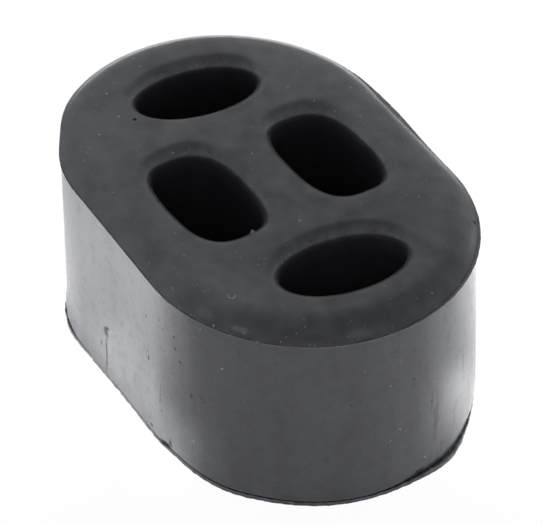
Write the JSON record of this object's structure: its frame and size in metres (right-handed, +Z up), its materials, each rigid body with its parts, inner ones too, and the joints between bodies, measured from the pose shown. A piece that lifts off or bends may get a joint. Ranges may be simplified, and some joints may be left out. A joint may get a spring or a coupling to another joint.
{
  "type": "exhaust hanger",
  "caption": "Moulded black rubber exhaust hanger: an oblong block with round ends, slots side by side through its middle and an oval hole across each end.",
  "frame": {"origin": "on the flat underside, on the rubber between the slots, below the middle of the rim", "axes": "+X along the block towards the end where the flash is widest, +Y across it, +Z up through the holes from the underside to the rolled top face"},
  "size_m": [0.0661, 0.046, 0.03],
  "materials": {
    "rubber": "black moulded rubber with a dull skin, dusty and lightly rubbed, with a torn edge of flash round the foot"
  },
  "bodies": {
    "root": {"hanger_block": "rubber"}
  },
  "joints": []
}
